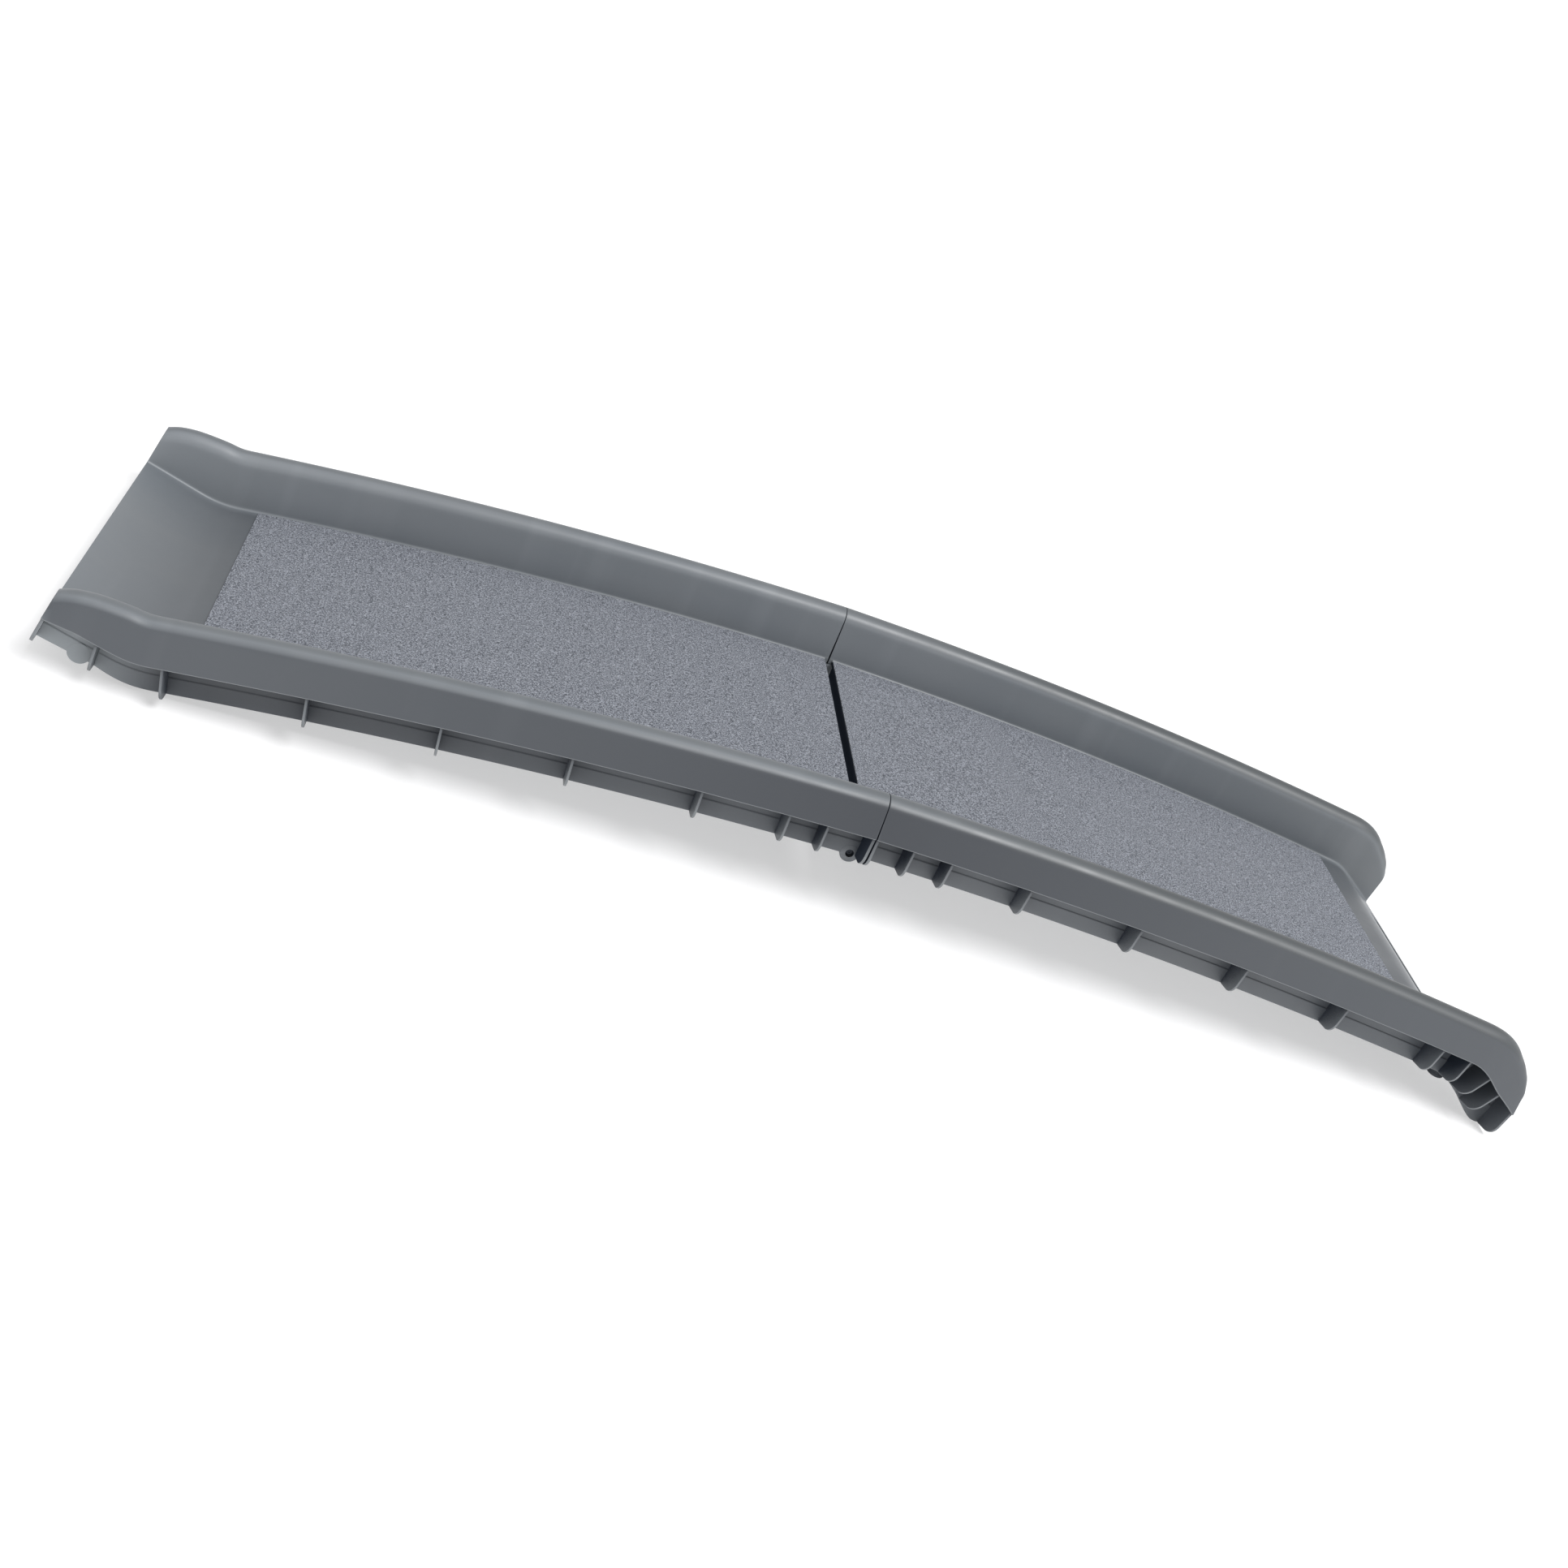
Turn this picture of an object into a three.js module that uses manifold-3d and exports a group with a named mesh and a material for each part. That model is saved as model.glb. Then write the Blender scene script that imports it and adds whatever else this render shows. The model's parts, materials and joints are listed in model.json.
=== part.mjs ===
// Bi-fold dog ramp, unfolded and standing on a floor.
// +X runs from the ground end to the vehicle end, +Y across the ramp, +Z up.
// The origin is on the floor, under the middle of the ramp.
import * as THREE from 'three';
import { mergeVertices } from 'three/addons/utils/BufferGeometryUtils.js';
import Module from 'manifold-3d';

const wasm = await Module();
wasm.setup();

// ---------------------------------------------------------------------------
// Driving dimensions, in millimetres and degrees.
// ---------------------------------------------------------------------------

// Cross-section, measured from the middle of the deck's top face.
const deckHalfWidth = 202.5;
const deckThickness = 3.4;
const wallHeight = 61.5;
const wallBottom = -17.5;
const wallInner = 203.4;
const wallOuter = 206.4;
const wallStep = 1;
const rollCentre = 217.6;
const rollRadius = 14;
const shellThickness = 2.6;
const skirtBottom = 21;
const skirtReach = 237.9;
const skirtDraft = 13;
const deckFillet = 3;
const finThickness = 2.6;
const finDepth = 14;
const finSpacing = 100;

// Side view of the two panels, going outwards from the hinge.
const hingeGap = 0.75;
const hingeSlope = 0.7;
const camberRadius = 6160;
const lowerCamberLength = 670;
const lipBendLength = 42;
const lipBendTurn = 22.1;
const lipLength = 64.5;
const upperCamberLength = 697;
const hookBendLength = 26;
const hookBendTurn = -25.2;
const hookLength = 57.5;
const camberSteps = 8;
const bendSteps = 3;

// How the section changes near the ends: [distance along the panel, value].
const lowerTop = [[708, wallHeight], [725, 58], [741, 54.5], [756, 50], [768, 45], [776, 39.5]];
const lowerSkirt = [[743, skirtBottom], [776, 17]];
const lowerBottom = [[690, wallBottom], [725, -14.5], [776, -16]];
const lowerLean = [[0, -1.2], [43, 0], [695, 0], [723, 11], [776, 0]];
const upperTop = [[711, wallHeight], [721, 59], [742, 55], [763, 50], [780, 46]];
const upperSkirt = [[697, skirtBottom], [719, 16], [737, 14], [780, 14.5]];
const upperBottom = [[690, wallBottom], [705, -21], [738, -23], [752, -25.5], [766, -28.5], [780, -23.5]];
const upperLean = [[0, -1.2], [43, 0], [715, 0], [725, -6], [742, -6], [763, -12], [780, -24]];

// Webs that tie the skirt to the wall, and the ribs across the underside.
const webThickness = 2.4;
const lowerWebs = [47, 85, 171, 294, 415, 535, 660, 723];
const upperWebs = [39, 79, 164, 287, 410, 532, 655, 690, 718, 743];
const webCorner = 16;
const ribDepth = 13;
const endPlate = 3;

// Hinge at the foot of the walls.
const hingeOffset = -9.5;
const hingeHeight = -16;
const earRadius = 9.8;
const earClearance = 18;
const earThickness = 4;
const earGap = 0.5;
const pinInner = wallInner - earGap - earThickness - 5;
const pinRadius = 4.2;
const pinClearance = 0.09;
const pinSides = 20;
const deckSetback = 4.8;

// Grit mats.
const matThickness = 1;
const matGap = 0.3;
const matMargin = 3.2;
const lowerMatLength = 646;
const upperMatLength = 671;

// Rubber feet under the lip and inside the hook.
const footAcross = 184;
const lipFootAlong = -702;
const lipFootBottom = -68;
const hookFootAlong = 700;
const hookFootBottom = -80;
const footRadius = 10;
const footHeight = 12;
const nibRadius = 1.1;
const nibLength = 11;
const postRadius = 8;
const screwRadius = 1.9;
const pilotRadius = 2.2;
const pilotDepth = 8.5;
const lipPostLength = 10.3;
const hookPostLength = 16.6;
const sides = 18;

// Hand-hold slot in the hook, and the half-round tabs under the lip.
const slotHalfWidth = 140;
const slotNear = 744;
const slotFar = 765;
const tabAlong = 737;
const tabRadius = 10.5;
const tabHeight = -11;

// ---------------------------------------------------------------------------
// Materials.
// ---------------------------------------------------------------------------

const finish = (color, roughness, metalness) =>
  new THREE.MeshStandardMaterial({ color, roughness, metalness });
const greyPlastic = finish(0x6c7175, 0.5, 0);
const grit = finish(0x8b919b, 0.95, 0);
const steel = finish(0xb4b8bc, 0.35, 1);
const blackSteel = finish(0x3a3e44, 0.45, 1);
const darkRubber = finish(0x2b2f36, 0.8, 0);

// ---------------------------------------------------------------------------
// Solids.
// ---------------------------------------------------------------------------

function toSolid(geometry) {
  const bare = geometry.index ? geometry.toNonIndexed() : geometry.clone();
  bare.deleteAttribute('normal');
  bare.deleteAttribute('uv');
  const merged = mergeVertices(bare, 1e-4);
  return new wasm.Manifold(new wasm.Mesh({
    numProp: 3,
    vertProperties: new Float32Array(merged.attributes.position.array),
    triVerts: new Uint32Array(merged.index.array),
  }));
}

function toGeometry(solid) {
  const mesh = solid.getMesh();
  const geometry = new THREE.BufferGeometry();
  geometry.setAttribute('position', new THREE.BufferAttribute(mesh.vertProperties, 3));
  geometry.setIndex(new THREE.BufferAttribute(mesh.triVerts, 1));
  geometry.computeVertexNormals();
  return geometry;
}

function joinAll(solids) {
  return solids.reduce((whole, piece) => whole.add(piece));
}

const point = (x, y) => new THREE.Vector2(x, y);

// Points on an arc, from one angle to another, both ends included.
function arc(x, y, radius, from, to, steps) {
  const points = [];
  for (let i = 0; i <= steps; i++) {
    const angle = THREE.MathUtils.degToRad(from + (to - from) * i / steps);
    points.push(point(x + radius * Math.cos(angle), y + radius * Math.sin(angle)));
  }
  return points;
}

// A solid of revolution about the line along +Z through (0, 0).
function turned(profile, segments = sides) {
  const geometry = new THREE.LatheGeometry(profile, segments);
  geometry.rotateX(Math.PI / 2);
  return geometry;
}

// ---------------------------------------------------------------------------
// The panels' path: a list of knots, each with a place, a lean and its heights.
// ---------------------------------------------------------------------------

function lookUp(table, distance) {
  if (distance <= table[0][0]) return table[0][1];
  for (let i = 1; i < table.length; i++) {
    const [from, low] = table[i - 1];
    const [to, high] = table[i];
    if (distance <= to) return low + (high - low) * (distance - from) / (to - from);
  }
  return table[table.length - 1][1];
}

// Stretches are {length, turn, steps}. A negative turn bends the path down.
function layPath(direction, stretches, tables) {
  const knots = [];
  let distance = 0;
  let along = hingeGap;
  let height = 0;
  let heading = -hingeSlope;
  const addKnot = () => {
    const lean = THREE.MathUtils.degToRad(-heading + lookUp(tables.lean, distance));
    knots.push({
      distance,
      centre: new THREE.Vector3(direction * along, 0, height),
      up: new THREE.Vector3(direction * Math.sin(lean), 0, Math.cos(lean)),
      top: lookUp(tables.top, distance),
      skirt: lookUp(tables.skirt, distance),
      bottom: lookUp(tables.bottom, distance),
    });
  };
  addKnot();
  for (const { length, turn, steps } of stretches) {
    for (let i = 0; i < steps; i++) {
      const middle = THREE.MathUtils.degToRad(heading + turn / steps / 2);
      along += length / steps * Math.cos(middle);
      height += length / steps * Math.sin(middle);
      heading += turn / steps;
      distance += length / steps;
      addKnot();
    }
  }
  return knots;
}

function camber(length) {
  return { length, turn: -THREE.MathUtils.radToDeg(length / camberRadius), steps: camberSteps };
}

const lowerPath = layPath(-1, [
  camber(lowerCamberLength),
  { length: lipBendLength, turn: lipBendTurn, steps: bendSteps },
  { length: lipLength, turn: 0, steps: 3 },
], { top: lowerTop, skirt: lowerSkirt, bottom: lowerBottom, lean: lowerLean });

const upperPath = layPath(1, [
  camber(upperCamberLength),
  { length: hookBendLength, turn: hookBendTurn, steps: bendSteps },
  { length: hookLength, turn: 0, steps: 4 },
], { top: upperTop, skirt: upperSkirt, bottom: upperBottom, lean: upperLean });

// The knot at any distance along a path, on the straight line between two knots.
function knotAt(path, distance) {
  let i = 1;
  while (i < path.length - 1 && path[i].distance < distance) i++;
  const [a, b] = [path[i - 1], path[i]];
  const t = (distance - a.distance) / (b.distance - a.distance);
  const mix = (name) => a[name] + (b[name] - a[name]) * t;
  return {
    distance,
    centre: a.centre.clone().lerp(b.centre, t),
    up: a.up.clone().lerp(b.up, t),
    top: mix('top'),
    skirt: mix('skirt'),
    bottom: mix('bottom'),
  };
}

// Moves a nominal section height to where it is at a knot.
function heightAt(knot, height) {
  if (height > 30) return height + knot.top - wallHeight;
  if (height > 10) return height + knot.skirt - skirtBottom;
  if (height < -deckThickness - 1) return height * knot.bottom / wallBottom;
  return height;
}

// Sweeps an outline of (across, height) along a row of knots.
function sweep(outline, knots, reshape = true) {
  const row = knots[0].centre.x < knots[1].centre.x ? knots : [...knots].reverse();
  const steps = row.length - 1;
  const geometry = new THREE.ExtrudeGeometry(new THREE.Shape(outline), {
    depth: steps, steps, bevelEnabled: false,
  });
  const position = geometry.attributes.position;
  for (let i = 0; i < position.count; i++) {
    const knot = row[Math.round(position.getZ(i))];
    const nominal = position.getY(i);
    const height = reshape ? heightAt(knot, nominal) : nominal;
    position.setXYZ(
      i,
      knot.centre.x + knot.up.x * height,
      position.getX(i),
      knot.centre.z + knot.up.z * height,
    );
  }
  return geometry;
}

// A flat plate across the panel, with its outline of (across, height) at a knot.
function plate(outline, knot, thickness) {
  const geometry = new THREE.ExtrudeGeometry(new THREE.Shape(outline), {
    depth: thickness, bevelEnabled: false,
  });
  geometry.translate(0, 0, -thickness / 2);
  const along = new THREE.Vector3(knot.up.z, 0, -knot.up.x);
  const across = new THREE.Vector3(0, 1, 0);
  geometry.applyMatrix4(new THREE.Matrix4().makeBasis(across, knot.up, along));
  geometry.translate(knot.centre.x, 0, knot.centre.z);
  return geometry;
}

// A plate lying in the XZ plane between two distances across.
function sidePlate(outline, from, to) {
  const geometry = new THREE.ExtrudeGeometry(new THREE.Shape(outline), {
    depth: Math.abs(to - from), bevelEnabled: false,
  });
  geometry.rotateX(Math.PI / 2);
  geometry.translate(0, Math.max(from, to), 0);
  return geometry;
}

function rectangle(left, bottom, right, top) {
  return [point(left, bottom), point(right, bottom), point(right, top), point(left, top)];
}

const mirrored = (outline) => outline.map((p) => point(-p.x, p.y)).reverse();

// ---------------------------------------------------------------------------
// Cross-section of a panel.
// ---------------------------------------------------------------------------

const rollHeight = wallHeight - rollRadius;

// One side, from the middle of the deck's top, over the roll and back underneath.
function halfSection() {
  const innerRadius = rollRadius - shellThickness;
  const fin = (middle) => [
    point(middle + finThickness / 2, -deckThickness),
    point(middle + finThickness / 2, -finDepth),
    point(middle - finThickness / 2, -finDepth),
    point(middle - finThickness / 2, -deckThickness),
  ];
  return [
    ...arc(deckHalfWidth - deckFillet, deckFillet, deckFillet, -90, 0, 2),
    ...arc(rollCentre, rollHeight, rollRadius, 180, skirtDraft, 6),
    point(skirtReach, skirtBottom),
    point(skirtReach - shellThickness, skirtBottom),
    ...arc(rollCentre, rollHeight, innerRadius, skirtDraft, 180, 4),
    point(wallOuter, 0),
    point(wallOuter + wallStep, -1),
    point(wallOuter + wallStep, wallBottom + 1),
    point(wallOuter + wallStep - 1, wallBottom),
    point(wallInner, wallBottom),
    point(wallInner, -deckThickness),
    ...fin(finSpacing),
  ];
}

function panelSection() {
  const side = halfSection();
  const middleFin = [
    point(finThickness / 2, -deckThickness),
    point(finThickness / 2, -finDepth),
    point(-finThickness / 2, -finDepth),
    point(-finThickness / 2, -deckThickness),
  ];
  return [...side, ...middleFin, ...mirrored(side)];
}

// A web fills the channel between wall, roll and skirt, with a round free corner.
function webOutline(knot) {
  const embed = shellThickness / 2;
  const roll = heightAt(knot, rollHeight);
  const skirt = heightAt(knot, skirtBottom);
  const bottom = heightAt(knot, wallBottom);
  const outer = skirtReach - embed;
  return [
    point(wallOuter - embed, roll),
    point(wallOuter - embed, bottom + 1),
    point(wallOuter + wallStep + 2, bottom + 0.6),
    ...arc(outer - webCorner - 1, bottom + webCorner + 2.5, webCorner, -70, -5, 3),
    point(outer, skirt + embed),
    ...arc(rollCentre, roll, rollRadius - embed, skirtDraft, 180, 4),
  ].filter((p, i, all) => i === 0 || p.distanceTo(all[i - 1]) > 0.01);
}

function webPair(knot, thickness = webThickness) {
  const outline = webOutline(knot).slice(0, -1);
  return [outline, mirrored(outline)].map((side) => toSolid(plate(side, knot, thickness)));
}

function crossRib(knot, reach = wallInner + 1, depth = ribDepth, thickness = webThickness) {
  const outline = rectangle(-reach, -depth, reach, -deckThickness / 2);
  return toSolid(plate(outline, knot, thickness));
}

// ---------------------------------------------------------------------------
// Feet: a moulded post, a rubber foot, a washer and a screw on one upright axis.
// ---------------------------------------------------------------------------

// The ramp rests on its lip feet and on the end of the hook.
const standAngle = Math.max(...upperPath.map((knot) => {
  const low = knot.centre.clone().addScaledVector(knot.up, knot.bottom);
  return Math.atan2(lipFootBottom - low.z, low.x - lipFootAlong);
}));

// Stands a piece that is turned about +Z upright over a foot's bottom centre.
function upright(geometry, along, across, bottom) {
  geometry.rotateY(standAngle);
  geometry.translate(along, across, bottom);
  return geometry;
}

const boreRadius = 4.9;
const boreDepth = 6;

function footProfile() {
  return [
    point(pilotRadius, footHeight),
    point(pilotRadius, boreDepth),
    point(boreRadius, boreDepth),
    point(boreRadius, 0),
    ...arc(footRadius - 2.5, 2, 2, -90, 0, 3),
    point(footRadius, footHeight - 1),
    point(footRadius - 1, footHeight),
    point(pilotRadius, footHeight),
  ];
}

// The hook feet keep a thin moulded nib that sticks out of the rim.
function nibbedFoot(side) {
  const nib = new THREE.CylinderGeometry(nibRadius, nibRadius / 2, nibLength, 8);
  nib.rotateZ(-Math.PI / 3);
  nib.translate(1 - footRadius - nibLength / 3, 0, 3.5);
  const whole = toSolid(turned(footProfile())).add(toSolid(nib));
  return upright(toGeometry(whole), hookFootAlong, side * footAcross, hookFootBottom);
}

function washerProfile() {
  const low = boreDepth - matGap - 1.2;
  return [
    point(pilotRadius + 0.1, low),
    point(boreRadius - 0.3, low),
    point(boreRadius - 0.3, low + 1.2),
    point(pilotRadius + 0.1, low + 1.2),
    point(pilotRadius + 0.1, low),
  ];
}

function screwProfile() {
  const head = boreDepth - 2 * matGap - 1.2;
  return [
    point(0, head - 2.4),
    point(2.2, head - 2.4),
    point(3.5, head - 1.2),
    point(3.5, head),
    point(screwRadius, head),
    point(screwRadius, footHeight + 5.5),
    point(0, footHeight + 7.5),
  ];
}

// The post reaches from the top of the foot up into the deck's thickness.
function post(along, across, bottom, length) {
  const profile = [
    point(pilotRadius, 0),
    point(postRadius, 0),
    point(postRadius, length),
    point(0, length),
    point(0, pilotDepth),
    point(pilotRadius, pilotDepth),
    point(pilotRadius, 0),
  ];
  const geometry = turned(profile);
  geometry.translate(0, 0, footHeight + matGap);
  return toSolid(upright(geometry, along, across, bottom));
}

// ---------------------------------------------------------------------------
// Panels.
// ---------------------------------------------------------------------------

const pinAt = (across) => new THREE.Vector3(hingeOffset, across, hingeHeight);
const outerEar = [wallInner, wallOuter + wallStep];
const innerEar = [wallInner - earGap - earThickness, wallInner - earGap];

function disc(radius, from, to, segments = pinSides) {
  const geometry = new THREE.CylinderGeometry(radius, radius, Math.abs(to - from), segments);
  const centre = pinAt((from + to) / 2);
  geometry.translate(centre.x, centre.y, centre.z);
  return toSolid(geometry);
}

// Cuts the deck back from the hinge line, between the walls.
function deckNotch(direction) {
  const width = deckSetback + 1;
  const geometry = new THREE.BoxGeometry(width, 2 * deckHalfWidth - 0.5, 60);
  geometry.translate(direction * (deckSetback - width / 2), 0, 0);
  return toSolid(geometry);
}

function panelBody(path, webs) {
  const pieces = [toSolid(sweep(panelSection(), path))];
  for (const distance of webs) {
    const knot = knotAt(path, distance);
    pieces.push(...webPair(knot), crossRib(knot));
  }
  const last = path[path.length - 1];
  const outerEnd = { ...knotAt(path, last.distance - endPlate / 2 - 0.3), up: last.up };
  const hingeEnd = knotAt(path, endPlate / 2 + 0.02);
  const deckEnd = knotAt(path, deckSetback + endPlate / 2 - hingeGap);
  pieces.push(...webPair(hingeEnd, endPlate), ...webPair(outerEnd, endPlate));
  pieces.push(crossRib(outerEnd, wallInner + 1, finDepth, endPlate));
  pieces.push(crossRib(deckEnd, pinInner - 2, finDepth + 2, endPlate));
  return joinAll(pieces);
}

function lowerPanel() {
  let body = panelBody(lowerPath, lowerWebs).subtract(deckNotch(-1));
  for (const side of [-1, 1]) {
    const [inside, outside] = outerEar.map((y) => side * y);
    const tab = knotAt(lowerPath, tabAlong);
    const centre = tab.centre.clone().addScaledVector(tab.up, tabHeight);
    const round = new THREE.CylinderGeometry(tabRadius, tabRadius, outerEar[1] - outerEar[0], sides);
    round.translate(centre.x, (inside + outside) / 2, centre.z);
    body = body
      .add(toSolid(round))
      .add(disc(earRadius, inside, outside))
      .subtract(disc(pinRadius + pinClearance, inside - side * 6, outside + side * 6))
      .add(post(lipFootAlong, side * footAcross, lipFootBottom, lipPostLength));
  }
  return body;
}

// The upper panel's ears reach past the hinge line, inside the lower panel's walls.
function innerEarOutline() {
  const low = hingeHeight + 1;
  const ring = arc(hingeOffset, hingeHeight, earRadius, 75, 285, 12);
  return [...ring, point(14, low), point(29, low), point(29, -3), point(8, -3)];
}

function upperPanel() {
  let body = panelBody(upperPath, upperWebs).subtract(deckNotch(1));
  const slot = sweep(
    rectangle(-slotHalfWidth, -30, slotHalfWidth, 8),
    [knotAt(upperPath, slotNear), knotAt(upperPath, slotFar)],
    false,
  );
  body = body.add(crossRib(knotAt(upperPath, slotNear - 3), wallInner + 1, finDepth));
  body = body.subtract(toSolid(slot));
  for (const side of [-1, 1]) {
    const [inside, outside] = innerEar.map((y) => side * y);
    const clearFrom = side * (wallInner - earGap / 2);
    const clearTo = side * (wallOuter + wallStep + earGap);
    const root = new THREE.BoxGeometry(20, earThickness + 3, 14);
    root.translate(20, side * (innerEar[0] + (earThickness + 3) / 2), -10);
    body = body
      .subtract(disc(earClearance, clearFrom, clearTo))
      .add(toSolid(sidePlate(innerEarOutline(), inside, outside)))
      .add(toSolid(root))
      .subtract(disc(pinRadius + pinClearance, inside - side * 6, outside + side * 0.2))
      .add(post(hookFootAlong, side * footAcross, hookFootBottom, hookPostLength));
  }
  return body;
}

// ---------------------------------------------------------------------------
// Assembly, in the deck's frame, then stood on the floor.
// ---------------------------------------------------------------------------

const deckFrame = new THREE.Group();

function addPiece(name, geometry, material) {
  const mesh = new THREE.Mesh(geometry, material);
  mesh.name = name;
  deckFrame.add(mesh);
  return mesh;
}

addPiece('lower_panel', toGeometry(lowerPanel()), greyPlastic);
addPiece('upper_panel', toGeometry(upperPanel()), greyPlastic);

function mat(path, from, length) {
  const middle = path.filter((k) => k.distance > from + 1 && k.distance < from + length - 1);
  const knots = [knotAt(path, from), ...middle, knotAt(path, from + length)];
  const reach = deckHalfWidth - matMargin;
  const outline = rectangle(-reach, matGap, reach, matGap + matThickness);
  return sweep(outline, knots, false);
}

const matStart = deckSetback - hingeGap + 0.2;
addPiece('lower_mat', mat(lowerPath, matStart, lowerMatLength), grit);
addPiece('upper_mat', mat(upperPath, matStart, upperMatLength), grit);

// Each hinge pin is turned about Y. Its outer end sits back inside the outer ear.
function aboutHinge(profile, side) {
  const geometry = new THREE.LatheGeometry(profile, pinSides);
  if (side < 0) geometry.rotateX(Math.PI);
  geometry.translate(hingeOffset, 0, hingeHeight);
  return geometry;
}

const pinOuter = outerEar[1] - 2.6;

function pinProfile() {
  return [
    point(0, pinInner),
    point(pinRadius - 0.6, pinInner),
    point(pinRadius, pinInner + 0.6),
    point(pinRadius, pinOuter - 0.5),
    point(pinRadius - 0.5, pinOuter),
    point(0, pinOuter),
  ];
}

function ringProfile(inner, outer, low, high) {
  return [
    point(inner, low),
    point(outer, low),
    point(outer, high),
    point(inner, high),
    point(inner, low),
  ];
}

const sidesOfRamp = [['near', -1], ['far', 1]];
const washerTop = innerEar[0] - matGap;
for (const [label, side] of sidesOfRamp) {
  const washer = ringProfile(pinRadius + 0.25, 8, washerTop - 1.2, washerTop);
  const clip = ringProfile(pinRadius + 0.2, 6.6, washerTop - 2.7, washerTop - 1.5);
  addPiece(`hinge_pin_${label}`, aboutHinge(pinProfile(), side), blackSteel);
  addPiece(`hinge_washer_${label}`, aboutHinge(washer, side), steel);
  addPiece(`hinge_clip_${label}`, aboutHinge(clip, side), steel);
}

const feet = [
  ['lip', lipFootAlong, lipFootBottom],
  ['hook', hookFootAlong, hookFootBottom],
];
for (const [end, along, bottom] of feet) {
  for (const [label, side] of sidesOfRamp) {
    const place = (profile) => upright(turned(profile), along, side * footAcross, bottom);
    const foot = end === 'hook' ? nibbedFoot(side) : place(footProfile());
    addPiece(`${end}_foot_${label}`, foot, darkRubber);
    addPiece(`${end}_foot_washer_${label}`, place(washerProfile()), steel);
    addPiece(`${end}_foot_screw_${label}`, place(screwProfile()), steel);
  }
}

// Turn the deck's frame up at the hook until the feet and the hook stand level.
deckFrame.rotation.y = -standAngle;

const ramp = new THREE.Group();
ramp.add(deckFrame);
ramp.updateMatrixWorld(true);
const extent = new THREE.Box3().setFromObject(ramp, true);
const middle = extent.getCenter(new THREE.Vector3());
ramp.position.set(-middle.x, -middle.y, -extent.min.z);
ramp.updateMatrixWorld(true);

export default ramp;
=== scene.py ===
import json
import math

import bpy
import bmesh
import numpy as np
from mathutils import Matrix, Vector
from mathutils.geometry import tessellate_polygon


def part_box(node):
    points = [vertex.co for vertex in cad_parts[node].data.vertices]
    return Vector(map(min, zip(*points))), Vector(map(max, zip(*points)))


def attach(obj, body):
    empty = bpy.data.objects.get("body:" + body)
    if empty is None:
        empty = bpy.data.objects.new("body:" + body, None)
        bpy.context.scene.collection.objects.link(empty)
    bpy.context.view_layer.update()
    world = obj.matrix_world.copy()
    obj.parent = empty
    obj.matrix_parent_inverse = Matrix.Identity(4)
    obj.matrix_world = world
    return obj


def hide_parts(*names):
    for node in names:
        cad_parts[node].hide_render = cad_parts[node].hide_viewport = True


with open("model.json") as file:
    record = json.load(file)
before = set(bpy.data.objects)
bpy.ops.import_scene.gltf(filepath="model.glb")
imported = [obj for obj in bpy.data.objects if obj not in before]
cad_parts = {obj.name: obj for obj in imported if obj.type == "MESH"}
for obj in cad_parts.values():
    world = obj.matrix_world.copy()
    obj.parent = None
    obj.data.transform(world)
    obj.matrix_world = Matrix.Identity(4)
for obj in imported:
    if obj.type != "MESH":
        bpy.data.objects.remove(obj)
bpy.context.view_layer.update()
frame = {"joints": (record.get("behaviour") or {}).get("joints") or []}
MM = 0.001

# ---------------------------------------------------------------------------
# Dimensions.
# ---------------------------------------------------------------------------

DECK_HALF = 202.5
DECK_THICK = 3.4
WALL_TOP = 61.5
WALL_FOOT = -17.5
WALL_IN = 203.4
WALL_OUT = 206.4
WALL_STEP = 1.0
ROLL_CENTRE = 217.6
ROLL_RADIUS = 14.0
ROLL_HEIGHT = WALL_TOP - ROLL_RADIUS
SHELL = 2.6
SKIRT_FOOT = 21.0
SKIRT_OUT = 237.9
SKIRT_DRAFT = 13.0
FILLET = 3.0
FIN_THICK = 2.6
FIN_DEPTH = 14.0
FIN_SPACING = 100.0

GAP = 0.75
CUT_HALF = 202.25
SLOPE = 0.7
CAMBER_RADIUS = 6160.0
LOWER_LENGTHS = (670.0, 42.0, 64.5)
LOWER_BEND = 22.1
UPPER_LENGTHS = (697.0, 26.0, 57.5)
UPPER_BEND = -25.2

LOWER_TABLES = {
    "top": [(708, WALL_TOP), (725, 58), (741, 54.5), (756, 50), (768, 45), (776.5, 39.5)],
    "skirt": [(743, SKIRT_FOOT), (776.5, 17)],
    "foot": [(690, WALL_FOOT), (725, -14.5), (776.5, -16)],
    "lean": [(0, -1.2), (43, 0), (695, 0), (723, 11), (776.5, 0)],
}
UPPER_TABLES = {
    "top": [(711, WALL_TOP), (721, 59), (742, 55), (763, 50), (780.5, 46)],
    "skirt": [(697, SKIRT_FOOT), (719, 16), (737, 14), (780.5, 14.5)],
    "foot": [(690, WALL_FOOT), (705, -21), (738, -23), (752, -25.5), (766, -28), (774, -28), (780.5, -23)],
    "lean": [(0, -1.2), (43, 0), (715, 0), (725, -6), (742, -6), (763, -12), (780.5, -24)],
}

WEB_THICK = 2.4
END_PLATE = 3.0
WEB_CORNER = 16.0
RIB_DEPTH = 13.0
LOWER_WEBS = (47, 85, 171, 294, 415, 535, 660, 723)
UPPER_WEBS = (39, 79, 164, 287, 410, 532, 655, 690, 718, 743)

HINGE_X = -9.5
HINGE_Z = -16.0
EAR_RADIUS = 9.8
EAR_CLEARANCE = 18.0
EAR_THICK = 4.0
EAR_GAP = 0.5
BORE = 4.29
SETBACK = 4.8

MAT_HALF = 199.3
MAT_LOW = 0.3
MAT_HIGH = 1.3
LOWER_MAT = 646.0
UPPER_MAT = 671.0

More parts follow.
